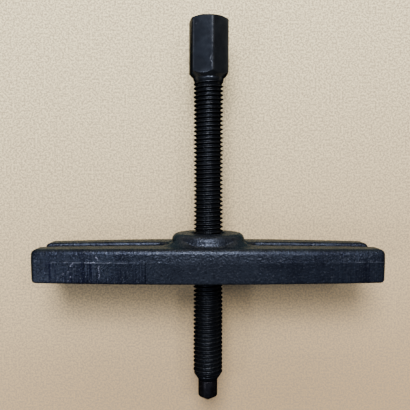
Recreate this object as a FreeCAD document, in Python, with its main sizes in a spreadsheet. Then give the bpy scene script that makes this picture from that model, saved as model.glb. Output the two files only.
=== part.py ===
import os

import FreeCAD
import Part
import Sketcher

# A two-slot puller yoke, lying on its side, with a forcing screw through its threaded boss.
#
# Every body is drawn in one local frame: Z runs along the screw towards its hex head and is 0 on
# the yoke's underside, X runs along the yoke's arms, and Y across them. lay_on_side() then turns
# the whole part, so that in its own frame X is along the arms, Y along the screw towards the
# head, and Z up from the surface that the yoke's side rests on.

DIMENSIONS = {
    # yoke forging
    "yoke_length": 158.8,
    "yoke_width": 44.0,
    "yoke_end_width": 35.6,
    "yoke_height": 15.9,
    "yoke_end_height": 15.2,
    "slot_width": 12.5,
    "slot_inner_reach": 18.8,
    "boss_diameter": 34.6,
    "boss_height": 21.1,
    "boss_rim_radius": 3.0,
    "boss_flare_radius": 2.0,
    "arm_corner_radius": 2.2,
    "top_edge_radius": 2.4,
    "slot_edge_radius": 1.4,
    "under_edge_radius": 0.9,
    # thread of the screw and the running clearance of the bore around it
    "thread_diameter": 14.0,
    "thread_pitch": 2.0,
    "thread_play": 0.2,
    "recess_depth": 0.8,
    # forcing screw, in heights above the yoke's underside
    "screw_end": -49.8,
    "screw_end_diameter": 9.5,
    "thread_chamfer_height": 3.5,
    "neck_bottom": 90.2,
    "neck_diameter": 14.4,
    "hex_bottom": 93.7,
    "hex_top": 121.3,
    "hex_across_flats": 17.0,
    "hex_turn": 10.7,
    "hex_crown_diameter": 16.2,
    # swivelling pressure pin and the blind bore that holds it
    "pin_diameter": 9.2,
    "pin_shoulder": -50.0,
    "pin_rim": -57.74,
    "pin_point": -60.4,
    "stem_diameter": 5.6,
    "stem_play": 0.1,
    "stem_end": -36.5,
    "ring_height": -42.0,
    "ring_wire_diameter": 0.9,
    "ring_gap_angle": 40.0,
}

# shares of the pitch in a 60 degree metric thread
THREAD_DEPTH_SHARE = 0.61343
HALF_CREST_SHARE = 0.0625
HALF_FOOT_SHARE = 0.375
THREAD_ROOT = f"(Sheet.thread_diameter / 2 - {THREAD_DEPTH_SHARE} * Sheet.thread_pitch)"
# how far a tooth's foot is sunk into the core
TOOTH_DIP = 0.05
# the step from the bore's thread out to the recess at each mouth
RECESS_STEP = 0.15
# turns of thread below the yoke's underside, and turns of the bore's cutter from there up
SCREW_THREAD_START_TURNS = 26
BORE_THREAD_START_TURNS = 2
BORE_THREAD_TURNS = 15
# how far a cutting outline runs past the solid it cuts
CUT_PAST = 5.0
# how far the boss's flare starts under the top face
FLARE_SINK = 0.2
# chamfer angles of the hex at its crown and at its neck, and the slope of a drill's point
CROWN_ANGLE = 30
NECK_ANGLE = 44
DRILL_POINT_ANGLE = 31
# the middle of a quarter-circle lies at this share of its radius along each side
QUARTER_MIDDLE = "sin(45)"
STEM_END_SPACE = 1.0
STEM_CHAMFER = 0.5
PIN_CHAMFER = 0.3
RING_SLACK = 0.05
RING_GROOVE_ROOM = 0.35
# two places nearer than this count as one when edges are picked
NEAR = 0.1

document = FreeCAD.newDocument("puller")


def make_sheet():
    """Write the driving dimensions into the sheet, each with its name as alias."""
    sheet = document.addObject("Spreadsheet::Sheet", "Sheet")
    for row, (name, size) in enumerate(DIMENSIONS.items(), start=1):
        sheet.set(f"A{row}", name.replace("_", " "))
        sheet.set(f"B{row}", str(size))
        sheet.setAlias(f"B{row}", name)
    document.recompute()


def origin_feature(body, role):
    """Return the body's own origin plane or axis with this role."""
    for feature in body.Origin.OriginFeatures:
        if feature.Role == role:
            return feature
    raise ValueError(f"no origin feature {role}")


def new_sketch(body, name, role):
    """Start a sketch on one of the body's own origin planes."""
    sketch = body.newObject("Sketcher::SketchObject", name)
    sketch.AttachmentSupport = (origin_feature(body, role), [""])
    sketch.MapMode = "FlatFace"
    return sketch


def add_points(sketch, places):
    """Add construction points held at pairs of expressions, and return their numbers."""
    points = []
    for number, place_of_point in enumerate(places, start=1):
        start = FreeCAD.Vector(number, number, 0)
        point = sketch.addGeometry(Part.Point(start), True)
        for letter, expression in zip("XY", place_of_point):
            hold = Sketcher.Constraint(f"Distance{letter}", -1, 1, point, 1, float(number))
            index = sketch.addConstraint(hold)
            label = f"point{point}{letter}"
            sketch.renameConstraint(index, label)
            sketch.setExpression(f"Constraints.{label}", expression)
        points.append(point)
    document.recompute()
    return points


def add_outline(sketch, corners, through=None):
    """Draw a closed outline. A side is straight, or an arc where through names a place on it."""
    through = through or {}
    corner_points = add_points(sketch, corners)
    arc_points = dict(zip(through, add_points(sketch, through.values())))
    for side, first in enumerate(corner_points):
        last = corner_points[(side + 1) % len(corner_points)]
        start = sketch.getPoint(first, 1)
        end = sketch.getPoint(last, 1)
        if side in arc_points:
            middle = sketch.getPoint(arc_points[side], 1)
            edge = sketch.addGeometry(Part.Arc(start, middle, end), False)
            sketch.addConstraint(Sketcher.Constraint("PointOnObject", arc_points[side], 1, edge))
        else:
            edge = sketch.addGeometry(Part.LineSegment(start, end), False)
        edge_start = sketch.getPoint(edge, 1)
        ends = [1, 2]
        if edge_start.distanceToPoint(start) > edge_start.distanceToPoint(end):
            ends = [2, 1]
        sketch.addConstraint(Sketcher.Constraint("Coincident", edge, ends[0], first, 1))
        sketch.addConstraint(Sketcher.Constraint("Coincident", edge, ends[1], last, 1))
    document.recompute()


def check_volume(body, feature, grows):
    """Recompute, and stop if the feature didn't add or remove material as meant."""
    document.recompute()
    change = body.Shape.Volume
    if feature.BaseFeature:
        change -= feature.BaseFeature.Shape.Volume
    if (change > 0) != grows:
        raise ValueError(f"{feature.Name} changed the volume by {change:.2f} mm3")


def turned(body, name, corners, through=None, cut=False, angle=360.0):
    """Revolve an outline in the XZ plane about the screw's axis, to add or to cut."""
    sketch = new_sketch(body, name + "_outline", "XZ_Plane")
    add_outline(sketch, corners, through)
    feature = body.newObject("PartDesign::Groove" if cut else "PartDesign::Revolution", name)
    feature.Profile = sketch
    feature.ReferenceAxis = (sketch, ["V_Axis"])
    feature.Angle = angle
    check_volume(body, feature, grows=not cut)


def cut_through(body, name, role, corners, through=None):
    """Cut an outline right through the body, both ways from its plane."""
    sketch = new_sketch(body, name + "_outline", role)
    add_outline(sketch, corners, through)
    pocket = body.newObject("PartDesign::Pocket", name)
    pocket.Profile = sketch
    pocket.Type = 1
    pocket.Midplane = True
    check_volume(body, pocket, grows=False)


def round_edges(body, name, radius, chosen):
    """Fillet the edges of the body's present shape for which chosen(edge) is true."""
    base = body.Tip
    edges = []
    for number, edge in enumerate(base.Shape.Edges, start=1):
        if chosen(edge):
            edges.append(f"Edge{number}")
    if not edges:
        raise ValueError(f"{name} finds no edges")
    fillet = body.newObject("PartDesign::Fillet", name)
    fillet.Base = (base, edges)
    fillet.setExpression("Radius", radius)
    check_volume(body, fillet, grows=False)


def middle_of(edge):
    """Return the point halfway along an edge."""
    return edge.valueAt((edge.FirstParameter + edge.LastParameter) / 2)


def size_of(name):
    """Return a driving dimension as a plain number."""
    return DIMENSIONS[name]


def helical_thread(body, name, start_turns, turns, play, cut):
    """Sweep a 60 degree tooth up the screw's axis, as a ridge on a screw or a groove in a bore."""
    low = f"-{start_turns} * Sheet.thread_pitch"
    root = f"{THREAD_ROOT} + {play} - {TOOTH_DIP}"
    crest = f"Sheet.thread_diameter / 2 + {play}"
    half_crest = f"{HALF_CREST_SHARE} * Sheet.thread_pitch"
    half_foot = f"{HALF_FOOT_SHARE} * Sheet.thread_pitch"
    sketch = new_sketch(body, name + "_tooth", "XZ_Plane")
    add_outline(
        sketch,
        [
            (root, f"{low} - {half_foot}"),
            (crest, f"{low} - {half_crest}"),
            (crest, f"{low} + {half_crest}"),
            (root, f"{low} + {half_foot}"),
        ],
    )
    kind = "PartDesign::SubtractiveHelix" if cut else "PartDesign::AdditiveHelix"
    helix = body.newObject(kind, name)
    helix.Profile = sketch
    helix.ReferenceAxis = (sketch, ["V_Axis"])
    helix.Mode = 0
    helix.setExpression("Pitch", "Sheet.thread_pitch")
    helix.setExpression("Height", f"{turns} * Sheet.thread_pitch")
    check_volume(body, helix, grows=not cut)


def make_yoke():
    """The forged yoke: two arms with open-ended slots, joined by a threaded boss."""
    body = document.addObject("PartDesign::Body", "yoke")
    half_length = "Sheet.yoke_length / 2"
    half_end = "Sheet.yoke_end_width / 2"
    beyond_top = f"Sheet.yoke_height + {CUT_PAST}"
    plan = new_sketch(body, "plan_outline", "XY_Plane")
    add_outline(
        plan,
        [
            (f"-{half_length}", f"-{half_end}"),
            (half_length, f"-{half_end}"),
            (half_length, half_end),
            (f"-{half_length}", half_end),
        ],
        through={0: ("0", "-Sheet.yoke_width / 2"), 2: ("0", "Sheet.yoke_width / 2")},
    )
    blank = body.newObject("PartDesign::Pad", "blank")
    blank.Profile = plan
    blank.setExpression("Length", "Sheet.yoke_height")
    document.recompute()
    cut_through(
        body,
        "crown",
        "XZ_Plane",
        [
            (f"-{half_length}", "Sheet.yoke_end_height"),
            (half_length, "Sheet.yoke_end_height"),
            (half_length, beyond_top),
            (f"-{half_length}", beyond_top),
        ],
        through={0: ("0", "Sheet.yoke_height")},
    )
    add_boss(body)
    cut_slots(body)
    round_yoke(body)
    cut_bore(body)
    return body


def add_boss(body):
    """Raise the round boss, with a rounded rim and a flare that runs out just under the top face."""
    side = "Sheet.boss_diameter / 2"
    rim = "Sheet.boss_rim_radius"
    flare = "Sheet.boss_flare_radius"
    flare_foot = f"Sheet.yoke_height - {FLARE_SINK}"
    flare_middle = f"{flare} - {flare} * {QUARTER_MIDDLE}"
    rim_middle = f"{rim} * {QUARTER_MIDDLE} - {rim}"
    turned(
        body,
        "boss",
        [
            ("0", "Sheet.yoke_height / 2"),
            (f"{side} + {flare}", "Sheet.yoke_height / 2"),
            (f"{side} + {flare}", flare_foot),
            (side, f"{flare_foot} + {flare}"),
            (side, f"Sheet.boss_height - {rim}"),
            (f"{side} - {rim}", "Sheet.boss_height"),
            ("0", "Sheet.boss_height"),
        ],
        through={
            2: (f"{side} + {flare_middle}", f"{flare_foot} + {flare_middle}"),
            4: (f"{side} + {rim_middle}", f"Sheet.boss_height + {rim_middle}"),
        },
    )


def cut_slots(body):
    """Cut the two slots, each open at its arm's end and round at its inner end."""
    half_width = "Sheet.slot_width / 2"
    round_centre = f"Sheet.slot_inner_reach + {half_width}"
    past_end = f"Sheet.yoke_length / 2 + {CUT_PAST}"
    for name, sign in (("right_slot", ""), ("left_slot", "-")):
        cut_through(
            body,
            name,
            "XY_Plane",
            [
                (f"{sign}({round_centre})", f"-{half_width}"),
                (f"{sign}({past_end})", f"-{half_width}"),
                (f"{sign}({past_end})", half_width),
                (f"{sign}({round_centre})", half_width),
            ],
            through={3: (f"{sign}Sheet.slot_inner_reach", "0")},
        )


def round_yoke(body):
    """Round the arms' corners first, and then the long edges that run over them."""
    half_length = size_of("yoke_length") / 2
    half_width = size_of("yoke_width") / 2
    outer = size_of("yoke_end_width") / 2
    slot = size_of("slot_width") / 2
    corner = size_of("arm_corner_radius")
    reach = size_of("slot_inner_reach")
    low_top = size_of("yoke_end_height")
    high_top = size_of("yoke_height")

    def at_arm_end(edge):
        middle = middle_of(edge)
        upright = edge.BoundBox.ZLength > low_top / 2 and edge.BoundBox.XLength < NEAR
        return upright and abs(abs(middle.x) - half_length) < NEAR and abs(middle.y) > outer - NEAR

    def outer_top(edge):
        middle = middle_of(edge)
        on_top = low_top - NEAR < middle.z < high_top + NEAR
        on_arm_end = abs(middle.x) > half_length - corner and abs(middle.y) > slot + NEAR
        return on_top and (on_arm_end or abs(middle.y) > half_width - NEAR)

    def under(edge):
        return abs(middle_of(edge).z) < NEAR and edge.BoundBox.ZLength < NEAR

    def slot_top(edge):
        middle = middle_of(edge)
        on_wall = abs(abs(middle.y) - slot) < NEAR and edge.BoundBox.ZLength < low_top / 2
        on_round = abs(middle.y) < slot and reach - NEAR < abs(middle.x) < reach + slot
        return middle.z > low_top - NEAR and (on_wall or on_round)

    round_edges(body, "arm_corners", "Sheet.arm_corner_radius", at_arm_end)
    round_edges(body, "top_edges", "Sheet.top_edge_radius", outer_top)
    round_edges(body, "slot_edges", "Sheet.slot_edge_radius", slot_top)
    round_edges(body, "under_edges", "Sheet.under_edge_radius", under)


def cut_bore(body):
    """Bore the boss with a chamfered recess at each mouth, and cut the thread between them."""
    root = f"{THREAD_ROOT} + Sheet.thread_play"
    recess = f"Sheet.thread_diameter / 2 + Sheet.thread_play + {RECESS_STEP}"
    mouth = f"{recess} + Sheet.recess_depth"
    turned(
        body,
        "bore",
        [
            ("0", "0"),
            (mouth, "0"),
            (recess, "Sheet.recess_depth"),
            (root, "Sheet.recess_depth"),
            (root, "Sheet.boss_height - Sheet.recess_depth"),
            (recess, "Sheet.boss_height - Sheet.recess_depth"),
            (mouth, "Sheet.boss_height"),
            ("0", "Sheet.boss_height"),
        ],
        cut=True,
    )
    helical_thread(
        body,
        "bore_thread",
        BORE_THREAD_START_TURNS,
        BORE_THREAD_TURNS,
        play="Sheet.thread_play",
        cut=True,
    )


def make_screw():
    """The forcing screw: hex head, plain neck, full-length thread and a bored end for the pin."""
    body = document.addObject("PartDesign::Body", "forcing_screw")
    neck = "Sheet.neck_diameter / 2"
    turned(
        body,
        "core",
        [
            ("0", "Sheet.screw_end"),
            (THREAD_ROOT, "Sheet.screw_end"),
            (THREAD_ROOT, "Sheet.neck_bottom"),
            (neck, "Sheet.neck_bottom"),
            (neck, "Sheet.hex_bottom"),
            ("0", "Sheet.hex_bottom"),
        ],
    )
    hexagon = body.newObject("PartDesign::AdditivePrism", "hex_head")
    hexagon.AttachmentSupport = (origin_feature(body, "XY_Plane"), [""])
    hexagon.MapMode = "FlatFace"
    hexagon.Polygon = 6
    hexagon.setExpression("Circumradius", "Sheet.hex_across_flats / sqrt(3)")
    hexagon.setExpression("Height", "Sheet.hex_top - Sheet.hex_bottom")
    hexagon.setExpression("AttachmentOffset.Base.z", "Sheet.hex_bottom")
    hexagon.setExpression("AttachmentOffset.Rotation.Angle", "Sheet.hex_turn - 90")
    check_volume(body, hexagon, grows=True)
    trim_hex(body)
    helical_thread(
        body,
        "thread",
        SCREW_THREAD_START_TURNS,
        screw_thread_turns(),
        play="0",
        cut=False,
    )
    trim_end(body)
    bore_for_pin(body)
    return body


def screw_thread_turns():
    """Return how many turns carry the thread from its start to inside the neck."""
    neck_middle = (size_of("neck_bottom") + size_of("hex_bottom")) / 2
    return SCREW_THREAD_START_TURNS + round(neck_middle / size_of("thread_pitch"))


def trim_hex(body):
    """Chamfer the corners of the hex at its crown, and more steeply where it meets the neck."""
    crown = "Sheet.hex_crown_diameter / 2"
    neck = "Sheet.neck_diameter / 2"
    outside = "Sheet.hex_across_flats"
    turned(
        body,
        "crown_chamfer",
        [
            (crown, "Sheet.hex_top"),
            (outside, f"Sheet.hex_top - ({outside} - {crown}) * tan({CROWN_ANGLE})"),
            (outside, "Sheet.hex_top"),
        ],
        cut=True,
    )
    turned(
        body,
        "neck_chamfer",
        [
            (neck, "Sheet.hex_bottom"),
            (outside, "Sheet.hex_bottom"),
            (outside, f"Sheet.hex_bottom + ({outside} - {neck}) * tan({NECK_ANGLE})"),
        ],
        cut=True,
    )


def trim_end(body):
    """Cut the thread off at the screw's end and chamfer it down to the end face."""
    end = "Sheet.screw_end"
    end_radius = "Sheet.screw_end_diameter / 2"
    outside = f"Sheet.thread_diameter / 2 + {CUT_PAST}"
    below = f"Sheet.screw_end - {CUT_PAST}"
    chamfer_width = "((Sheet.thread_diameter - Sheet.screw_end_diameter) / 2)"
    slope = f"Sheet.thread_chamfer_height / {chamfer_width}"
    turned(
        body,
        "end_chamfer",
        [
            ("0", below),
            (outside, below),
            (outside, f"{end} + ({outside} - {end_radius}) * {slope}"),
            (end_radius, end),
            ("0", end),
        ],
        cut=True,
    )


def bore_for_pin(body):
    """Bore the screw's end for the pin's stem, with a groove for its retaining ring."""
    bore = "Sheet.stem_diameter / 2 + Sheet.stem_play"
    groove = f"(Sheet.stem_diameter + Sheet.ring_wire_diameter) / 2 + {RING_GROOVE_ROOM}"
    half_groove = f"(Sheet.ring_wire_diameter / 2 + {RING_GROOVE_ROOM})"
    blind_end = f"Sheet.stem_end + {STEM_END_SPACE}"
    turned(
        body,
        "pin_bore",
        [
            ("0", "Sheet.screw_end"),
            (bore, "Sheet.screw_end"),
            (bore, f"Sheet.ring_height - {half_groove}"),
            (groove, f"Sheet.ring_height - {half_groove}"),
            (groove, f"Sheet.ring_height + {half_groove}"),
            (bore, f"Sheet.ring_height + {half_groove}"),
            (bore, blind_end),
            ("0", f"{blind_end} + ({bore}) * tan({DRILL_POINT_ANGLE})"),
        ],
        cut=True,
    )


def make_pin():
    """The pressure pin: a stem with a ring groove, and a head that ends in a 120 degree cone."""
    body = document.addObject("PartDesign::Body", "pressure_pin")
    head = "Sheet.pin_diameter / 2"
    stem = "Sheet.stem_diameter / 2"
    groove_floor = f"{stem} - Sheet.ring_wire_diameter / 2 - {RING_SLACK}"
    half_groove = f"(Sheet.ring_wire_diameter / 2 + {RING_SLACK})"
    turned(
        body,
        "pin",
        [
            ("0", "Sheet.pin_point"),
            (head, "Sheet.pin_rim"),
            (head, f"Sheet.pin_shoulder - {PIN_CHAMFER}"),
            (f"{head} - {PIN_CHAMFER}", "Sheet.pin_shoulder"),
            (stem, "Sheet.pin_shoulder"),
            (stem, f"Sheet.ring_height - {half_groove}"),
            (groove_floor, f"Sheet.ring_height - {half_groove}"),
            (groove_floor, f"Sheet.ring_height + {half_groove}"),
            (stem, f"Sheet.ring_height + {half_groove}"),
            (stem, f"Sheet.stem_end - {STEM_CHAMFER}"),
            (f"{stem} - {STEM_CHAMFER}", "Sheet.stem_end"),
            ("0", "Sheet.stem_end"),
        ],
    )
    return body


def make_ring():
    """The retaining ring: round spring wire bent into an open circle in the pin's groove."""
    body = document.addObject("PartDesign::Body", "pin_retaining_ring")
    wire = "Sheet.ring_wire_diameter / 2"
    middle = "Sheet.stem_diameter / 2"
    turned(
        body,
        "ring",
        [
            (f"{middle} - {wire}", "Sheet.ring_height"),
            (f"{middle} + {wire}", "Sheet.ring_height"),
        ],
        through={
            0: (middle, f"Sheet.ring_height - {wire}"),
            1: (middle, f"Sheet.ring_height + {wire}"),
        },
        angle=360.0 - size_of("ring_gap_angle"),
    )
    return body


def lay_on_side(bodies):
    """Turn the local Z to +Y, centre the length at Y = 0 and stand the yoke's side on Z = 0."""
    turn = FreeCAD.Rotation(FreeCAD.Vector(1, 0, 0), -90)
    for body in bodies:
        body.Placement = FreeCAD.Placement(FreeCAD.Vector(0, 0, 0), turn)
        body.setExpression("Placement.Base.y", "-(Sheet.hex_top + Sheet.pin_point) / 2")
        body.setExpression("Placement.Base.z", "Sheet.yoke_width / 2")


def check_and_write(bodies):
    """Stop on any failed object or bad shape, then write one file for each body."""
    document.recompute()
    for item in document.Objects:
        if "Invalid" in item.State or "Error" in item.State:
            raise ValueError(f"{item.Name} is {item.State}")
    for body in bodies:
        if body.Shape.isNull() or not body.Shape.isValid():
            raise ValueError(f"{body.Label} has no valid shape")
    os.makedirs("parts", exist_ok=True)
    for body in bodies:
        body.Shape.exportStep(f"parts/{body.Label}.step")


make_sheet()
pieces = [make_yoke(), make_screw(), make_pin(), make_ring()]
lay_on_side(pieces)
check_and_write(pieces)
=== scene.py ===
import bpy
import bmesh
import math
import numpy as np
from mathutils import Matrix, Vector, noise
from mathutils.bvhtree import BVHTree


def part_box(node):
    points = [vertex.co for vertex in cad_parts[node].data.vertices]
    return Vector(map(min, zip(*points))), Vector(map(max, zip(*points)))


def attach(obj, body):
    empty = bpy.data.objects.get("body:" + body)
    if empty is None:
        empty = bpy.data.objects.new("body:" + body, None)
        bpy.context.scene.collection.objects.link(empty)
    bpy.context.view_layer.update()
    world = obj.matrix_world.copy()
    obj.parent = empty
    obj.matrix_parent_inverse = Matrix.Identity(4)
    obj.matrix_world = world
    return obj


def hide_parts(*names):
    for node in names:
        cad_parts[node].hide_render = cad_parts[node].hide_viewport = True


# A black forged puller yoke with its forcing screw, lying on a pale floor and seen from above.
# Lengths are in metres. X runs along the yoke's arms, Y along the screw towards its head, Z up.

MM = 0.001

# Points nearer to each other than this become one, in new meshes and in the copied CAD yoke.
WELD_DISTANCE = 0.002 * MM
CAD_WELD_DISTANCE = 0.001 * MM

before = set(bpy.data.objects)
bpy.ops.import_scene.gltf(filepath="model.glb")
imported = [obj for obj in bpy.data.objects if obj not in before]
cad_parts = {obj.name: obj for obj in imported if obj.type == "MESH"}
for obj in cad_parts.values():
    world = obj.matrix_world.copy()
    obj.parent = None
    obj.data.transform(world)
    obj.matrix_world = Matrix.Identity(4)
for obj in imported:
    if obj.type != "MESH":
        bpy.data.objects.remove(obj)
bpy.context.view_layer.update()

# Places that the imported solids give.
yoke_low, yoke_high = (Vector(corner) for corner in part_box("yoke"))
screw_low, screw_high = (Vector(corner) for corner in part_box("forcing_screw"))
pin_low, pin_high = (Vector(corner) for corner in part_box("pressure_pin"))
AXIS_Z = (yoke_low.z + yoke_high.z) / 2
UNDERSIDE_Y = yoke_low.y

# Sizes of the forcing screw.
THREAD_RADIUS = 7.0 * MM
THREAD_PITCH = 2.0 * MM
THREAD_DEPTH = 0.61343 * THREAD_PITCH
THREAD_RUN_OUT = 3.2 * MM
END_RADIUS = 4.75 * MM
END_CHAMFER_HEIGHT = 3.5 * MM
END_EDGE_BREAK = 0.15 * MM
BORE_RADIUS = 2.9 * MM
BORE_DEPTH = 12.0 * MM
BORE_CHAMFER = 0.3 * MM
NECK_RADIUS = 7.15 * MM
NECK_HEIGHT = 0.7 * MM
HEX_FLAT = 8.5 * MM
HEX_LENGTH = 27.6 * MM
HEX_TURN = math.radians(10.7)
HEX_EDGE_RADIUS = 0.32 * MM
CROWN_RADIUS = 8.1 * MM
CROWN_EDGE_DROP = 0.1 * MM
CROWN_EDGE_INSET = 0.25 * MM
CROWN_SLOPE = math.tan(math.radians(30))
NECK_SLOPE = math.tan(math.radians(44))

# The roundings between the hex's sides and the cones below and above them: steps inward and
# along the axis, in millimetres.
HEX_LOWER_EDGE = ((0.25, 0.0), (0.07, 0.07), (0.0, 0.25))
HEX_UPPER_EDGE = ((0.0, 0.25), (0.06, 0.05), (0.25, 0.0))

# A tooth of the thread, in shares of a pitch from the middle of its crest: where the crest ends,
# where the root starts, how far the flank's roundings reach, and where rows of points lie.
CREST_END = 0.03
ROOT_START = 0.44
FLANK_ROUNDING = 0.08
HALF_TOOTH_ROWS = (0.03, 0.057, 0.084, 0.11, 0.17, 0.24, 0.30, 0.36, 0.387, 0.414, 0.44)

# Sizes of the pressure pin.
PIN_HEAD_HEIGHT = 7.7 * MM
PIN_CONE_HEIGHT = 2.7 * MM
PIN_CONE_ROUNDING = 0.45 * MM
PIN_SHOULDER_ROUNDING = 0.35 * MM
PIN_TIP_FACE_RADIUS = 0.02 * MM
PIN_TIP_RADIUS = 0.5 * MM
PIN_TIP_HEIGHT = 0.25 * MM
PIN_TIP_ROUNDING = 0.2 * MM
STEM_RADIUS = 2.8 * MM
STEM_CHAMFER = 0.4 * MM
STEM_ROUNDING = 0.2 * MM
PIN_SEGMENTS = 96

# The forging's mesh: its squares, and how far around the axis it is taken as the bore, whose skin
# only moves into the steel by this much.
FORGING_VOXEL = 0.45 * MM
BORE_ZONE_RADIUS = 8.9 * MM
BORE_SHRINK = 0.05 * MM

# Sizes that the dies leave on the forging. Heights are above the yoke's underside.
PARTING_HEIGHT = 9.6 * MM
DRAFT_SLOPE = math.tan(math.radians(3.0))
DRAFT_START = 9.0 * MM
DRAFT_RUN = 6.0 * MM
END_ROUNDING = 2.8 * MM
BOSS_RADIUS = 17.3 * MM
ARM_TOP_HEIGHT = 15.9 * MM

# The slope that leads from the arms up to the boss. It fades out towards the middle of the slots
# and towards the arm's side, and lies only where the boss is reached along the arms.
FLARE_HEIGHT = 2.8 * MM
FLARE_RUN = 5.5 * MM
FLARE_SLOT_EDGE = 5.0 * MM
FLARE_SLOT_FADE = 4.0 * MM
FLARE_SIDE_EDGE = 19.4 * MM
FLARE_SIDE_FADE = 3.5 * MM
FLARE_TURN_START = 0.30
FLARE_TURN_SPAN = 0.40
FLARE_LEAST_RISE = 0.03 * MM
CLIMB_STEPS = 12
CLIMB_SHARE = 0.7

# Unevenness of the forging's skin: sizes of its lumps and depths, the depths in millimetres.
SKIN_INSET = 0.09
WAVE_SIZE = 7.0 * MM
WAVE_DEPTH = 0.045
GRAIN_SIZE = 2.6 * MM
GRAIN_DEPTH = 0.014
RIDGE_HEIGHT = 0.07
RIDGE_WIDTH = 0.4 * MM
GRIND_MARK_SIZE = 1.6 * MM
GRIND_DEPTH = 0.06
SIDE_START = 15.0 * MM

# Stretches of the arms, each from one X to another and how softly it ends: where the parting line
# stands proud, and where it was ground off.
RIDGE_LEFT = (-74.0 * MM, -19.0 * MM, 3.0 * MM)
RIDGE_RIGHT = (24.0 * MM, 60.0 * MM, 6.0 * MM)
GRIND_LEFT = (-73.0 * MM, -33.0 * MM, 2.5 * MM)
GRIND_RIGHT = (64.0 * MM, 79.0 * MM, 1.5 * MM)

# Dents in the side that faces up: along the arm, above the underside, size, and depth in
# millimetres.
SIDE_DENTS = (
    (-64.5 * MM, 8.6 * MM, 1.6 * MM, 0.10),
    (-61.5 * MM, 6.9 * MM, 1.1 * MM, 0.08),
    (-66.8 * MM, 3.6 * MM, 1.3 * MM, 0.09),
    (-52.5 * MM, 11.4 * MM, 1.5 * MM, 0.10),
    (-29.0 * MM, 6.0 * MM, 1.0 * MM, 0.06),
    (38.0 * MM, 4.2 * MM, 1.2 * MM, 0.07),
    (70.5 * MM, 9.0 * MM, 1.4 * MM, 0.07),
)


def mesh_piece(name, points, faces, sharp_angle=math.radians(38)):
    """Make an object from points and faces, with coinciding points merged and smooth shading."""
    mesh = bpy.data.meshes.new(name)
    mesh.from_pydata([tuple(point) for point in points], [], faces)
    work = bmesh.new()
    work.from_mesh(mesh)
    bmesh.ops.remove_doubles(work, verts=work.verts, dist=WELD_DISTANCE)
    bmesh.ops.dissolve_degenerate(work, edges=work.edges, dist=WELD_DISTANCE)
    bmesh.ops.recalc_face_normals(work, faces=work.faces)
    work.to_mesh(mesh)
    work.free()
    mesh.shade_smooth()
    mesh.set_sharp_from_angle(angle=sharp_angle)
    return link_object(name, mesh)


def link_object(name, data):
    """Put new data into the scene as an object."""
    made = bpy.data.objects.new(name, data)
    bpy.context.scene.collection.objects.link(made)
    return made


def skin_rows(rows):
    """Join rows of points, each closed on itself by a last point equal to its first, and cap
    both ends with a fan."""
    count = len(rows[0])
    points = [point for row in rows for point in row]
    faces = []
    for row in range(len(rows) - 1):
        for column in range(count - 1):
            low = row * count + column
            faces.append((low, low + 1, low + count + 1, low + count))
    for row in (0, len(rows) - 1):
        middle = len(points)
        points.append(sum((Vector(point) for point in rows[row][:-1]), Vector()) / (count - 1))
        for column in range(count - 1):
            faces.append((row * count + column, row * count + column + 1, middle))
    return points, faces


def around_axis(angle, radius, y):
    """A place at this angle about the screw's axis, counted from straight up towards +X."""
    return (radius * math.sin(angle), y, AXIS_Z + radius * math.cos(angle))


def limit(value, low, high):
    """The value, held between low and high."""
    return min(max(value, low), high)


# --- Forcing screw -------------------------------------------------------------------------


def column_angles():
    """Angles of the screw's columns, once round from the corner that faces the floor. Each
    corner of the hex has three close columns, and its flats have even ones."""
    half_corner = math.radians(1.6)
    steps = 12
    angles = []
    for corner in range(3, 9):
        start = HEX_TURN + corner * math.pi / 3
        angles.append(start)
        first = start + half_corner
        last = start + math.pi / 3 - half_corner
        angles += list(np.linspace(first, last, steps + 1))
    angles.append(angles[0] + 2 * math.pi)
    return angles


def hex_radius(angle):
    """Distance from the axis to the hex's side at this angle, with rounded corners."""
    from_corner = (angle - HEX_TURN + math.pi / 6) % (math.pi / 3) - math.pi / 6
    centre = (HEX_FLAT - HEX_EDGE_RADIUS) / math.cos(math.pi / 6)
    across = centre * math.sin(from_corner)
    flat = HEX_FLAT / math.cos(math.pi / 6 - abs(from_corner))
    if abs(across) >= HEX_EDGE_RADIUS:
        return flat
    rounded = centre * math.cos(from_corner) + math.sqrt(HEX_EDGE_RADIUS**2 - across**2)
    return min(flat, rounded)


def tooth_depth(rise):
    """Depth below the crest, as a share of the full depth, at this part of a pitch: a straight
    flank that starts and ends in a small rounding."""
    away = abs((rise + 0.5) % 1.0 - 0.5)
    flank = ROOT_START - CREST_END
    straight = flank - FLANK_ROUNDING
    along = limit(away - CREST_END, 0.0, flank)
    if along < FLANK_ROUNDING:
        return along * along / (2 * FLANK_ROUNDING * straight)
    left = flank - along
    if left < FLANK_ROUNDING:
        return 1 - left * left / (2 * FLANK_ROUNDING * straight)
    return (along - FLANK_ROUNDING / 2) / straight


def thread_phase(angle):
    """Share of a pitch that the right-hand thread has climbed at this angle. A crest passes
    the +X side at each whole pitch above the yoke's underside."""
    return (angle - math.pi / 2) / (2 * math.pi)


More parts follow.
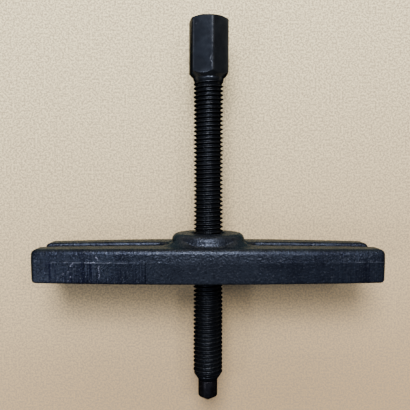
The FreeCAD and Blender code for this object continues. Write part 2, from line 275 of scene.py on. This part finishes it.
def thread_rows(angles, end_y, top_y, neck_y):
    """Rows that follow the thread's helix, held between the end face and the neck. The thread
    runs out below the neck, where its root rises to the neck's radius."""
    rises = HALF_TOOTH_ROWS + tuple(1 - share for share in reversed(HALF_TOOTH_ROWS))
    first_turn = math.floor((end_y - UNDERSIDE_Y) / THREAD_PITCH) - 2
    last_turn = math.ceil((top_y - UNDERSIDE_Y) / THREAD_PITCH) + 1
    chamfer_slope = (THREAD_RADIUS - END_RADIUS) / END_CHAMFER_HEIGHT
    root_radius = THREAD_RADIUS - THREAD_DEPTH
    rows = []
    for turn in range(first_turn, last_turn):
        for rise in rises:
            row = []
            for angle in angles:
                y = UNDERSIDE_Y + (turn + rise + thread_phase(angle)) * THREAD_PITCH
                y = limit(y, end_y, top_y)
                radius = THREAD_RADIUS - THREAD_DEPTH * tooth_depth(rise)
                fill = limit((y - neck_y + THREAD_RUN_OUT) / THREAD_RUN_OUT, 0.0, 1.0)
                radius = max(radius, root_radius + (NECK_RADIUS - root_radius) * fill)
                chamfer = END_RADIUS + (y - end_y) * chamfer_slope
                row.append(around_axis(angle, min(radius, chamfer), y))
            rows.append(row)
    return rows


def make_screw():
    """The screw as one closed surface: bored end, chamfer, thread, neck and hex."""
    angles = column_angles()
    end_y = screw_low.y
    hex_y = screw_high.y - HEX_LENGTH
    neck_y = hex_y - NECK_HEIGHT

    def ring_at(radius, y):
        return [around_axis(angle, radius, y) for angle in angles]

    rows = [
        ring_at(BORE_RADIUS, end_y + BORE_DEPTH),
        ring_at(BORE_RADIUS, end_y + BORE_CHAMFER),
        ring_at(BORE_RADIUS + BORE_CHAMFER, end_y),
        ring_at(END_RADIUS - END_EDGE_BREAK, end_y),
    ]
    rows += thread_rows(angles, end_y + END_EDGE_BREAK, neck_y, neck_y)
    rows.append(ring_at(NECK_RADIUS, neck_y + 0.5 * (hex_y - neck_y)))
    rows.append(ring_at(NECK_RADIUS, hex_y))
    sides = [hex_radius(angle) for angle in angles]
    for inset, rise in HEX_LOWER_EDGE:
        row = []
        for angle, radius in zip(angles, sides):
            edge_y = hex_y + (radius - NECK_RADIUS) * NECK_SLOPE
            y = edge_y + (rise - inset * NECK_SLOPE) * MM
            row.append(around_axis(angle, radius - inset * MM, y))
        rows.append(row)
    for inset, drop in HEX_UPPER_EDGE:
        row = []
        for angle, radius in zip(angles, sides):
            edge_y = screw_high.y - (radius - CROWN_RADIUS) * CROWN_SLOPE
            y = edge_y - (drop - inset * CROWN_SLOPE) * MM
            row.append(around_axis(angle, radius - inset * MM, y))
        rows.append(row)
    rows.append(ring_at(CROWN_RADIUS, screw_high.y - CROWN_EDGE_DROP))
    rows.append(ring_at(CROWN_RADIUS - CROWN_EDGE_INSET, screw_high.y))
    rows.append(ring_at(CROWN_RADIUS * 0.5, screw_high.y))
    return mesh_piece("forcing_screw_body", *skin_rows(rows))


# --- Pressure pin --------------------------------------------------------------------------


def rounded_profile(corners, steps=5):
    """Points along a profile of (radius, y, rounding) corners, each rounded by a curve that
    starts and ends this far from the corner."""
    line = []
    for index, (radius, y, rounding) in enumerate(corners):
        here = Vector((radius, y))
        if rounding == 0:
            line.append(here)
            continue
        before = Vector(corners[index - 1][:2]) - here
        after = Vector(corners[index + 1][:2]) - here
        start = here + before.normalized() * rounding
        end = here + after.normalized() * rounding
        for step in range(steps + 1):
            share = step / steps
            line.append(start.lerp(here, share).lerp(here.lerp(end, share), share))
    return line


def make_pin():
    """The pressure pin: a turned head with a cone point, on a stem inside the screw's end."""
    tip_y = pin_low.y
    head_radius = (pin_high.x - pin_low.x) / 2
    shoulder_y = tip_y + PIN_CONE_HEIGHT + PIN_HEAD_HEIGHT
    corners = [
        (PIN_TIP_FACE_RADIUS, tip_y, 0),
        (PIN_TIP_RADIUS, tip_y + PIN_TIP_HEIGHT, PIN_TIP_ROUNDING),
        (head_radius, tip_y + PIN_CONE_HEIGHT, PIN_CONE_ROUNDING),
        (head_radius, shoulder_y, PIN_SHOULDER_ROUNDING),
        (STEM_RADIUS, shoulder_y, 0),
        (STEM_RADIUS, pin_high.y - STEM_CHAMFER, STEM_ROUNDING),
        (STEM_RADIUS - STEM_CHAMFER, pin_high.y, 0),
    ]
    turn = 2 * math.pi / PIN_SEGMENTS
    rows = []
    for radius, y in rounded_profile(corners):
        rows.append([around_axis(step * turn, radius, y) for step in range(PIN_SEGMENTS + 1)])
    return mesh_piece("pressure_pin_body", *skin_rows(rows))


# --- Yoke forging --------------------------------------------------------------------------


def remeshed_yoke():
    """An even mesh of small squares around the CAD yoke."""
    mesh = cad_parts["yoke"].data.copy()
    work = bmesh.new()
    work.from_mesh(mesh)
    bmesh.ops.remove_doubles(work, verts=work.verts, dist=CAD_WELD_DISTANCE)
    work.to_mesh(mesh)
    work.free()
    piece = link_object("yoke_forging", mesh)
    remesh = piece.modifiers.new("even_squares", "REMESH")
    remesh.mode = "VOXEL"
    remesh.voxel_size = FORGING_VOXEL
    even = bpy.data.meshes.new_from_object(
        piece.evaluated_get(bpy.context.evaluated_depsgraph_get())
    )
    piece.modifiers.clear()
    piece.data = even
    bpy.data.meshes.remove(mesh)
    return piece


def bump_at(place, size):
    """Smooth noise from -1 to 1 whose lumps are about this size."""
    return noise.noise(place / size)


def window(value, low, high, soft):
    """1 between low and high, falling smoothly to 0 within soft outside them."""
    rise = limit((value - low) / soft + 1, 0, 1)
    fall = limit((high - value) / soft + 1, 0, 1)
    share = min(rise, fall)
    return share * share * (3 - 2 * share)


def skin_depth(place, normal):
    """How far the forging's real skin lies inside the nominal surface at this place."""
    height = place.y - UNDERSIDE_Y
    depth = SKIN_INSET + WAVE_DEPTH * bump_at(place, WAVE_SIZE)
    depth += GRAIN_DEPTH * bump_at(place, GRAIN_SIZE)
    on_side = abs(normal.z) > 0.9 and abs(place.z - AXIS_Z) > SIDE_START
    if on_side:
        line_height = PARTING_HEIGHT + 0.25 * MM * bump_at(place, 18.0 * MM)
        ridge = math.exp(-((height - line_height) / RIDGE_WIDTH) ** 2)
        left = window(place.x, *RIDGE_LEFT)
        right = 0.35 * window(place.x, *RIDGE_RIGHT)
        depth -= RIDGE_HEIGHT * ridge * max(left, right)
        marks = 0.6 + 0.4 * bump_at(place, GRIND_MARK_SIZE)
        depth += GRIND_DEPTH * grind_share(place) * marks
    for x, dent_height, size, sunk in SIDE_DENTS:
        away = math.hypot(place.x - x, height - dent_height) / size
        if on_side and place.z > AXIS_Z and away < 1:
            depth += sunk * (1 - away * away) ** 2
    return max(depth, 0.0) * MM


def draft_depth(place):
    """How far the side leans in here: the dies leave it fullest along the parting line."""
    height = place.y - UNDERSIDE_Y
    share = limit((abs(place.z - AXIS_Z) - DRAFT_START) / DRAFT_RUN, 0, 1)
    return share * DRAFT_SLOPE * abs(height - PARTING_HEIGHT)


def round_end(place):
    """Draw a place at an arm's end into the rounding of its lower corner."""
    out = abs(place.x) - (yoke_high.x - END_ROUNDING)
    down = END_ROUNDING - (place.y - UNDERSIDE_Y)
    away = math.hypot(out, down)
    if out <= 0 or down <= 0 or away <= END_ROUNDING:
        return
    place.x -= math.copysign(out - out * END_ROUNDING / away, place.x)
    place.y += down - down * END_ROUNDING / away


def flare_rise(place):
    """Height above the arms of the slope that leads up to the boss, beside the slots."""
    across = abs(place.z - AXIS_Z)
    reach = math.hypot(place.x, across)
    share = limit(1 - (reach - BOSS_RADIUS) / FLARE_RUN, 0, 1)
    to_arms = limit((abs(place.x) / reach - FLARE_TURN_START) / FLARE_TURN_SPAN, 0, 1)
    beside_slot = limit((across - FLARE_SLOT_EDGE) / FLARE_SLOT_FADE, 0, 1)
    off_edge = limit((FLARE_SIDE_EDGE - across) / FLARE_SIDE_FADE, 0, 1)
    return FLARE_HEIGHT * share * share * to_arms * beside_slot * off_edge


def climb_flare(place, normal):
    """Move a place at the boss's foot out along its normal, a step at a time, onto the slope."""
    reach = math.hypot(place.x, place.z - AXIS_Z)
    on_foot = BOSS_RADIUS - 0.5 * MM < reach < BOSS_RADIUS + FLARE_RUN
    arm_top = UNDERSIDE_Y + ARM_TOP_HEIGHT - 0.1 * MM
    if not on_foot or place.y < arm_top - 0.3 * MM:
        return place
    for _ in range(CLIMB_STEPS):
        rise = flare_rise(place)
        below = arm_top + rise - place.y
        if below <= 0 or rise < FLARE_LEAST_RISE:
            break
        place = place + normal * min(below, rise) * CLIMB_SHARE
    return place


def grind_share(place):
    """How strongly the flash was ground off at this place along the arms."""
    return max(window(place.x, *GRIND_LEFT), window(place.x, *GRIND_RIGHT))


def make_yoke():
    """The yoke with its forged skin, its parting line, the slope up to its boss and the places
    where it was ground."""
    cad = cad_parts["yoke"].data
    corners = [vertex.co for vertex in cad.vertices]
    surface = BVHTree.FromPolygons(corners, [tuple(face.vertices) for face in cad.polygons])
    piece = remeshed_yoke()
    mesh = piece.data
    normals = [vertex.normal.copy() for vertex in mesh.vertices]
    for vertex, normal in zip(mesh.vertices, normals):
        place = vertex.co.copy()
        if math.hypot(place.x, place.z - AXIS_Z) < BORE_ZONE_RADIUS:
            vertex.co = place - normal * BORE_SHRINK
            continue
        nearest = surface.find_nearest(place)[0]
        vertex.co = nearest - normal * skin_depth(nearest, normal)
        vertex.co.z -= math.copysign(draft_depth(nearest), nearest.z - AXIS_Z)
        place = climb_flare(vertex.co.copy(), normal)
        round_end(place)
        vertex.co = place
    mesh.shade_smooth()
    return piece


# --- Materials -----------------------------------------------------------------------------

# How much of the usual bright edge is left where a black coat is seen at a grazing angle.
DARK_EDGE = (0.12, 0.12, 0.12)


class Surface:
    """A node material under construction, with short ways to add its nodes. Its colour and
    roughness hold until nodes are set in their place."""

    def __init__(self, name, colour, roughness, metallic=0.0, edge_tint=(1, 1, 1)):
        self.material = bpy.data.materials.new(name)
        self.material.use_nodes = True
        self.tree = self.material.node_tree
        self.shader = self.tree.nodes["Principled BSDF"]
        self.shader.inputs["Base Color"].default_value = (*colour, 1)
        self.shader.inputs["Roughness"].default_value = roughness
        self.shader.inputs["Metallic"].default_value = metallic
        self.shader.inputs["Specular IOR Level"].default_value = 0.0
        self.shader.inputs["Specular Tint"].default_value = (*edge_tint, 1)
        self.place = self.add("ShaderNodeTexCoord").outputs["Object"]

    def add(self, kind, inputs=(), **settings):
        """Add a node, with values or links for its inputs."""
        made = self.tree.nodes.new(kind)
        for name, value in settings.items():
            setattr(made, name, value)
        for key, value in dict(inputs).items():
            self.feed(made.inputs[key], value)
        return made

    def feed(self, socket, value):
        """Link another node's output to a socket, or give the socket a plain value."""
        if isinstance(value, bpy.types.NodeSocket):
            self.tree.links.new(value, socket)
        else:
            socket.default_value = value

    def set(self, name, value):
        """Give one of the shader's own inputs."""
        self.feed(self.shader.inputs[name], value)

    def noise(self, size, detail=2.0, stretch=(1, 1, 1), roughness=0.5):
        """Noise from 0 to 1 whose lumps are about this size, drawn out by stretch."""
        scale = tuple(1 / (size * share) for share in stretch)
        spread = self.add("ShaderNodeMapping", {"Vector": self.place, "Scale": scale})
        inputs = {
            "Vector": spread.outputs["Vector"],
            "Scale": 1.0,
            "Detail": detail,
            "Roughness": roughness,
        }
        return self.add("ShaderNodeTexNoise", inputs).outputs[0]

    def fit(self, value, low, high, to_low=0.0, to_high=1.0):
        """Carry low..high smoothly to to_low..to_high."""
        inputs = {
            "Value": value,
            "From Min": low,
            "From Max": high,
            "To Min": to_low,
            "To Max": to_high,
        }
        made = self.add("ShaderNodeMapRange", inputs, interpolation_type="SMOOTHSTEP")
        return made.outputs["Result"]

    def math(self, operation, first, second=0.0):
        """One sum on numbers."""
        made = self.add("ShaderNodeMath", {0: first, 1: second}, operation=operation)
        return made.outputs[0]

    def mix(self, share, first, second):
        """Blend two colours."""
        made = self.add("ShaderNodeMix", data_type="RGBA")
        for index, value in ((0, share), (6, first), (7, second)):
            if isinstance(value, tuple):
                value = (*value, 1.0)
            self.feed(made.inputs[index], value)
        return made.outputs[2]

    def paint(self, below, share, strength, colour):
        """Lay a colour over the one below, at this strength where share is 1."""
        return self.mix(self.math("MULTIPLY", share, strength), below, colour)

    def split(self):
        """The place's X, Y and Z."""
        return self.add("ShaderNodeSeparateXYZ", {"Vector": self.place}).outputs

    def radius(self):
        """Distance from the screw's axis."""
        x, _, z = self.split()
        above = self.math("SUBTRACT", z, AXIS_Z)
        squares = self.math("ADD", self.math("POWER", x, 2.0), self.math("POWER", above, 2.0))
        return self.math("SQRT", squares)

    def strokes(self, lines, across, up, width):
        """1 on thin broken lines, each from one place to another in millimetres, else 0."""
        wobble = self.math("SUBTRACT", self.noise(1.5 * MM, 3.0, roughness=0.7), 0.5)
        across = self.math("ADD", across, self.math("MULTIPLY", wobble, 1.6 * MM))
        here = self.add("ShaderNodeCombineXYZ", {"X": across, "Y": up}).outputs["Vector"]
        total = 0.0
        for start, end in lines:
            start = Vector((*start, 0)) * MM
            run = Vector((*end, 0)) * MM - start
            away = self.vector("SUBTRACT", here, start)
            along = self.vector("DOT_PRODUCT", away, run / run.length_squared, "Value")
            along = self.add("ShaderNodeClamp", {"Value": along}).outputs["Result"]
            nearest = self.add("ShaderNodeVectorMath", {0: run, "Scale": along}, operation="SCALE")
            gap = self.vector("DISTANCE", away, nearest.outputs["Vector"], "Value")
            total = self.math("MAXIMUM", total, self.fit(gap, width, 0.2 * width))
        broken = self.fit(self.noise(0.9 * MM, 4.0, roughness=0.7), 0.40, 0.56)
        return self.math("MULTIPLY", total, broken)

    def vector(self, operation, first, second, result="Vector"):
        """One sum on vectors."""
        made = self.add("ShaderNodeVectorMath", {0: first, 1: second}, operation=operation)
        return made.outputs[result]

    def bump(self, height, distance, strength=1.0, below=None):
        """A normal tilted by this height, on top of another bump where one is given."""
        inputs = {"Height": height, "Distance": distance, "Strength": strength}
        if below is not None:
            inputs["Normal"] = below
        return self.add("ShaderNodeBump", inputs).outputs["Normal"]


# Scratches on the side that faces up, each from one place to another: along the arm and above
# the underside, in millimetres.
SCRATCHES = (
    ((-59.6, 9.9), (-61.2, 8.0)),
    ((-61.7, 6.6), (-62.5, 4.9)),
    ((-61.0, 3.6), (-61.9, 1.7)),
    ((-64.3, 5.2), (-64.1, 4.0)),
    ((-53.2, 9.6), (-50.4, 9.9)),
    ((-49.6, 12.4), (-48.7, 10.6)),
    ((-48.4, 8.8), (-48.3, 3.0)),
)


# Colours of the yoke's coat, of the painted sheen towards its boss, and of what shows in it and
# through it.
COAT_DEEP = (0.0115, 0.0135, 0.0215)
COAT_THIN = (0.019, 0.023, 0.034)
COAT_PAINTED_SHEEN = (0.026, 0.030, 0.040)
COAT_EDGE = (0.38, 0.44, 0.48)
SPECK_COLOUR = (0.054, 0.059, 0.072)
PIT_COLOUR = (0.006, 0.007, 0.011)
GROUND_DARK = (0.0045, 0.005, 0.014)
GROUND_BRIGHT = (0.042, 0.047, 0.074)
STEP_PAINTED_SHADE = (0.004, 0.005, 0.010)
PARTING_COLOUR = (0.085, 0.092, 0.115)
SCRATCH_COLOUR = (0.15, 0.155, 0.20)
RUBBED_COLOUR = (0.15, 0.15, 0.15)

# Where the grinding on the left arm ends, in a small step drawn only as a line of painted shade.
STEP_X = -28.0 * MM


def coat_colour(skin, x):
    """The coat: clouded, lighter towards the boss in a painted sheen, with fine specks and pits.
    """
    cloud = skin.fit(skin.noise(9.0 * MM, 3.0), 0.35, 0.68)
    colour = skin.mix(cloud, COAT_DEEP, COAT_THIN)
    # Painted sheen: the coat is lightened towards the boss for the brighter reflection there.
    centre = skin.fit(skin.math("ABSOLUTE", x), 46.0 * MM, 6.0 * MM, 0.0, 0.6)
    colour = skin.mix(centre, colour, COAT_PAINTED_SHEEN)
    speck = skin.fit(skin.noise(1.1 * MM, 4.0, roughness=0.7), 0.54, 0.66)
    colour = skin.paint(colour, speck, 0.6, SPECK_COLOUR)
    pit = skin.fit(skin.noise(1.2 * MM, 3.0, roughness=0.7), 0.45, 0.34)
    return skin.paint(colour, pit, 0.6, PIT_COLOUR)


def ground_share(skin, x, left, right, below_line):
    """1 where the arms' sides are fully ground, below the parting line and in patches."""
    coarse = skin.fit(x, -47.5 * MM, -50.0 * MM, 0.5, 1.0)
    ground = skin.math("MAXIMUM", skin.math("MULTIPLY", left, coarse), right)
    ground = skin.math("MULTIPLY", ground, below_line)
    patches = skin.fit(skin.noise(8.0 * MM, 2.0), 0.25, 0.5, 0.5)
    return skin.math("MULTIPLY", ground, patches)


def parting_line(skin, height, where):
    """1 on the thin line where the dies met, which wanders a little and is broken in places."""
    wander = skin.math("MULTIPLY", skin.math("SUBTRACT", skin.noise(16.0 * MM), 0.5), 1.4 * MM)
    from_line = skin.math("SUBTRACT", skin.math("ADD", height, wander), PARTING_HEIGHT)
    parting = skin.fit(skin.math("ABSOLUTE", from_line), 0.26 * MM, 0.08 * MM)
    parting = skin.math("MULTIPLY", parting, where)
    broken = skin.fit(skin.noise(3.0 * MM, 3.0), 0.36, 0.58)
    return skin.math("MULTIPLY", parting, broken)


def phosphate_skin():
    """Forged steel under a thin blue-black phosphate coat, rubbed and ground here and there."""
    skin = Surface("phosphate_skin", (0.020, 0.025, 0.037), 0.3, 0.75, COAT_EDGE)
    x, y, z = skin.split()
    height = skin.math("SUBTRACT", y, UNDERSIDE_Y)
    facing_up = skin.fit(z, AXIS_Z + 12 * MM, AXIS_Z + 14 * MM)
    arm_start = skin.fit(x, -75.0 * MM, -71.0 * MM)
    before_step = skin.fit(x, -27.9 * MM, -28.2 * MM)
    left = skin.math("MULTIPLY", arm_start, before_step)
    right = skin.math("MULTIPLY", skin.fit(x, 50.0 * MM, 64.0 * MM), 0.7)
    below_line = skin.fit(height, PARTING_HEIGHT + 0.4 * MM, PARTING_HEIGHT - 0.1 * MM, 0.3)
    ground = ground_share(skin, x, left, right, below_line)
    lines = skin.noise(0.55 * MM, 2.0, stretch=(1, 40, 3), roughness=0.6)

    colour = coat_colour(skin, x)
    dark_lines = skin.math("MULTIPLY", skin.fit(lines, 0.50, 0.40), ground)
    colour = skin.paint(colour, dark_lines, 0.9, GROUND_DARK)
    bright_lines = skin.math("MULTIPLY", skin.fit(lines, 0.55, 0.72), ground)
    colour = skin.paint(colour, bright_lines, 0.6, GROUND_BRIGHT)
    # Painted shade: a thin dark line stands in for the small step where the grinding ends.
    from_step = skin.math("ABSOLUTE", skin.math("SUBTRACT", x, STEP_X))
    step = skin.math("MULTIPLY", skin.fit(from_step, 0.42 * MM, 0.15 * MM), below_line)
    colour = skin.paint(colour, step, 0.85, STEP_PAINTED_SHADE)
    parting = parting_line(skin, height, skin.math("MAXIMUM", left, right))
    colour = skin.paint(colour, parting, 0.75, PARTING_COLOUR)
    scratched = skin.math("MULTIPLY", skin.strokes(SCRATCHES, x, height, 0.36 * MM), facing_up)
    colour = skin.paint(colour, scratched, 0.8, SCRATCH_COLOUR)
    rubbed = skin.fit(skin.noise(3.2 * MM, 6.0, roughness=0.75), 0.665, 0.73)
    skin.set("Base Color", skin.paint(colour, rubbed, 0.5, RUBBED_COLOUR))

    gloss = skin.fit(skin.noise(1.8 * MM, 4.0, roughness=0.6), 0.3, 0.7, 0.22, 0.34)
    skin.set("Roughness", gloss)
    normal = skin.bump(skin.noise(0.85 * MM, 2.0), 0.24 * MM, 1.0)
    normal = skin.bump(skin.math("MULTIPLY", lines, ground), 0.09 * MM, 0.9, normal)
    skin.set("Normal", normal)
    return skin.material


# Nicks in the hex, each from one place to another: across it and up from its crown, in
# millimetres. The first is a painted glint; the rest are nicks.
HEX_NICKS_AND_GLINT = (
    ((-5.8, -4.1), (-5.4, -3.7)),
    ((0.9, -18.8), (0.5, -20.8)),
    ((0.5, -20.8), (1.4, -21.6)),
    ((1.3, -21.6), (1.2, -23.6)),
)

# Colours of the screw's oxide, and of the steel that shows on its worn edges. The hex's corners
# also get a painted highlight, and one nick is a painted glint.
OXIDE_DEEP = (0.026, 0.029, 0.036)
OXIDE_THIN = (0.034, 0.039, 0.049)
THREAD_COLOUR = (0.005, 0.0052, 0.006)
WORN_CREST = (0.085, 0.085, 0.088)
WORN_EDGE_AND_HIGHLIGHT = (0.10, 0.105, 0.115)
NICK_AND_GLINT_COLOUR = (0.34, 0.35, 0.38)


def oiled_oxide():
    """Black oxide under a film of oil, worn on the thread's crests and the hex's corners, with a
    painted highlight on the hex's corners and a painted glint near the crown.
    """
    coat = Surface("oiled_oxide", (0.012, 0.013, 0.016), 0.22, 0.85, DARK_EDGE)
    radius = coat.radius()
    x, y, z = coat.split()
    thread_top = screw_high.y - HEX_LENGTH - NECK_HEIGHT
    on_thread = coat.fit(y, thread_top + 0.5 * MM, thread_top - 1.0 * MM)
    cloud = coat.fit(coat.noise(6.0 * MM, 2.0), 0.35, 0.65)
    colour = coat.mix(cloud, OXIDE_DEEP, OXIDE_THIN)
    colour = coat.paint(colour, on_thread, 0.5, THREAD_COLOUR)

    crest = coat.fit(radius, THREAD_RADIUS - 0.16 * MM, THREAD_RADIUS - 0.02 * MM)
    wear = coat.fit(coat.noise(1.2 * MM, 4.0, roughness=0.65), 0.42, 0.66)
    worn = coat.math("MULTIPLY", coat.math("MULTIPLY", crest, wear), on_thread)
    colour = coat.paint(colour, worn, 0.3, WORN_CREST)
    # Wear and painted highlight: the hex's corners are lightened for worn coat and for the
    # highlight along their roundings.
    corner = HEX_FLAT / math.cos(math.pi / 6)
    edge = coat.fit(radius, corner - 0.42 * MM, corner - 0.28 * MM)
    edge = coat.math("MULTIPLY", edge, coat.fit(coat.noise(2.2 * MM, 4.0), 0.30, 0.55))
    colour = coat.paint(colour, edge, 0.5, WORN_EDGE_AND_HIGHLIGHT)
    # Nicks, and a painted glint: the first stroke in the list is a painted glint.
    nicked_and_glint = coat.strokes(HEX_NICKS_AND_GLINT, x, coat.math("SUBTRACT", y, screw_high.y), 0.32 * MM)
    nicked_and_glint = coat.math("MULTIPLY", nicked_and_glint, coat.fit(z, AXIS_Z, AXIS_Z + 1.0 * MM))
    coat.set("Base Color", coat.paint(colour, nicked_and_glint, 0.7, NICK_AND_GLINT_COLOUR))

    coat.set("Roughness", coat.fit(coat.noise(2.2 * MM, 4.0), 0.3, 0.7, 0.18, 0.26))
    fine = coat.math("MULTIPLY", coat.noise(0.30 * MM, 4.0, roughness=0.6), on_thread)
    drawn = coat.noise(0.5 * MM, 3.0, stretch=(1, 18, 1))
    normal = coat.bump(fine, 0.02 * MM, 0.5)
    coat.set("Normal", coat.bump(drawn, 0.006 * MM, 0.4, normal))
    return coat.material


# Colours of the pin's steel, the ring's wire and the floor, with the floor's painted shade.
PIN_DARK = (0.0085, 0.008, 0.0095)
PIN_LIGHT = (0.019, 0.018, 0.021)
WIRE_DARK = (0.36, 0.35, 0.33)
WIRE_LIGHT = (0.48, 0.47, 0.45)
BOARD_FAR = (0.97, 0.83, 0.49)
BOARD_PAINTED_SHADE = (0.53, 0.34, 0.16)
BOARD_FIBRE = (0.36, 0.27, 0.18)


def hardened_pin_steel():
    """Turned and hardened steel, nearly black, with fine rings around the axis."""
    steel = Surface("hardened_pin", (0.010, 0.0095, 0.011), 0.26, 0.85, DARK_EDGE)
    cloud = steel.fit(steel.noise(2.5 * MM, 4.0, roughness=0.6), 0.35, 0.68)
    steel.set("Base Color", steel.mix(cloud, PIN_DARK, PIN_LIGHT))
    gloss = steel.fit(steel.noise(0.9 * MM, 4.0, roughness=0.6), 0.3, 0.7, 0.20, 0.32)
    steel.set("Roughness", gloss)
    rings = steel.noise(0.16 * MM, 2.0, stretch=(60, 1, 60))
    steel.set("Normal", steel.bump(rings, 0.012 * MM, 0.6))
    return steel.material


def spring_wire():
    """Bright spring wire with fine unevenness from its drawing."""
    wire = Surface("spring_wire_steel", (0.42, 0.41, 0.39), 0.3, metallic=1.0)
    tint = wire.fit(wire.noise(0.8 * MM, 3.0), 0.3, 0.7)
    wire.set("Base Color", wire.mix(tint, WIRE_DARK, WIRE_LIGHT))
    wire.set("Normal", wire.bump(wire.noise(0.1 * MM, 2.0), 0.004 * MM, 0.5))
    return wire.material


def floor_board():
    """Plain board with a fine grain. Around the object it goes from pale on the screw head's
    side to warmer and darker on the other, a painted shade for the light's falloff, and further
    out it is pale all over."""
    board = Surface("floor_board", (0.77, 0.64, 0.45), 0.9)
    x, y, _ = board.split()
    # Painted shade: the board darkens and warms away from the screw head's side, for the light's
    # falloff.
    down = board.math("SUBTRACT", board.math("MULTIPLY", x, 0.15), y)
    shade = board.fit(down, -150.0 * MM, 150.0 * MM)
    from_middle = board.add("ShaderNodeVectorMath", {0: board.place}, operation="LENGTH")
    near = board.fit(from_middle.outputs["Value"], 320.0 * MM, 140.0 * MM)
    colour = board.mix(board.math("MULTIPLY", shade, near), BOARD_FAR, BOARD_PAINTED_SHADE)
    fibre = board.fit(board.noise(0.95 * MM, 2.0, roughness=0.7), 0.38, 0.62)
    mottle = board.fit(board.noise(9.0 * MM, 3.0), 0.3, 0.7)
    fibre = board.math("MULTIPLY", fibre, 0.78)
    grain = board.math("ADD", fibre, board.math("MULTIPLY", mottle, 0.04))
    board.set("Base Color", board.mix(grain, colour, BOARD_FIBRE))
    return board.material


# --- Stage ---------------------------------------------------------------------------------

# The camera: its place and turns, and its focal length as a share of the picture's width.
CAMERA_PLACE = (-5.6 * MM, UNDERSIDE_Y + 46.5 * MM, AXIS_Z + 245 * MM)
CAMERA_TURNS = (math.radians(-2.87), math.radians(-0.94), math.radians(0.13))
FOCAL_SHARE = 515.0 / 410.0

# The room around the object: the direction of its window, and its light on that side and on the
# other. Directions whose cosine to the window's is below ROOM_EDGE get the dim light alone.
WINDOW_SIDE = (-0.17, 0.16, 0.97)
ROOM_BRIGHT = (0.40, 0.46, 0.60)
ROOM_DIM = (0.13, 0.125, 0.115)
ROOM_EDGE = 0.20

FLOOR_REACH = 1.2


def make_floor():
    """A plain square floor under the object."""
    reach = FLOOR_REACH
    corners = [(-reach, -reach, 0), (reach, -reach, 0), (reach, reach, 0), (-reach, reach, 0)]
    floor = mesh_piece("floor", corners, [(0, 1, 2, 3)])
    floor.data.materials.append(floor_board())


def make_camera():
    """The photograph's viewpoint, nearly straight above the object."""
    data = bpy.data.cameras.new("camera")
    data.sensor_width = 36.0
    data.lens = FOCAL_SHARE * data.sensor_width
    camera = link_object("camera", data)
    camera.location = CAMERA_PLACE
    camera.rotation_euler = CAMERA_TURNS
    data.clip_start = 0.01
    bpy.context.scene.camera = camera


def make_light(name, place, target, size, power, colour, height=None):
    """A round light of this size, or an oblong one where a height is given too."""
    data = bpy.data.lights.new(name, "AREA")
    data.shape = "DISK"
    data.size = size
    if height is not None:
        data.shape = "RECTANGLE"
        data.size_y = height
    data.energy = power
    data.color = colour
    light = link_object(name, data)
    light.location = place
    light.rotation_euler = (Vector(target) - Vector(place)).to_track_quat("-Z", "Y").to_euler()


def make_world():
    """A soft room: cool and bright on the window's side, dim and slightly warm elsewhere."""
    world = bpy.data.worlds.new("studio")
    world.use_nodes = True
    tree = world.node_tree
    direction = tree.nodes.new("ShaderNodeTexCoord").outputs["Generated"]
    towards = tree.nodes.new("ShaderNodeVectorMath")
    towards.operation = "DOT_PRODUCT"
    towards.inputs[1].default_value = Vector(WINDOW_SIDE).normalized()
    tree.links.new(direction, towards.inputs[0])
    share = tree.nodes.new("ShaderNodeMapRange")
    share.interpolation_type = "SMOOTHSTEP"
    share.inputs["From Min"].default_value = ROOM_EDGE
    share.inputs["From Max"].default_value = 1.0
    tree.links.new(towards.outputs["Value"], share.inputs["Value"])
    blend = tree.nodes.new("ShaderNodeMix")
    blend.data_type = "RGBA"
    blend.inputs[6].default_value = (*ROOM_DIM, 1)
    blend.inputs[7].default_value = (*ROOM_BRIGHT, 1)
    tree.links.new(share.outputs["Result"], blend.inputs[0])
    tree.links.new(blend.outputs[2], tree.nodes["Background"].inputs["Color"])
    bpy.context.scene.world = world


def place_piece(piece, material, body, node):
    """Give a piece its looks, attach it to the body it rides on, and hide the CAD node that it
    replaces.
    """
    piece.data.materials.clear()
    piece.data.materials.append(material)
    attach(piece, body)
    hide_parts(node)


make_camera()
make_world()
make_floor()
make_light("window", (-0.07, 0.50, 0.86), (0, 0, 0), 0.46, 15.2, (0.99, 0.99, 1.0))
make_light("strip", (0.03, 0.90, 0.52), (0, 0, 0), 1.0, 6.2, (1.0, 0.99, 0.96), 0.14)
make_light("lamp_left", (-0.62, -0.22, 0.90), (0, 0, 0), 0.16, 2.0, (0.95, 0.97, 1.0))
make_light("lamp_right", (0.36, 0.24, 0.95), (0, 0, 0), 0.16, 2.2, (1.0, 0.98, 0.95))

place_piece(make_yoke(), phosphate_skin(), "yoke", "yoke")
place_piece(make_screw(), oiled_oxide(), "screw", "forcing_screw")
place_piece(make_pin(), hardened_pin_steel(), "pin", "pressure_pin")
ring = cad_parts["pin_retaining_ring"]
ring.data.materials.clear()
ring.data.materials.append(spring_wire())
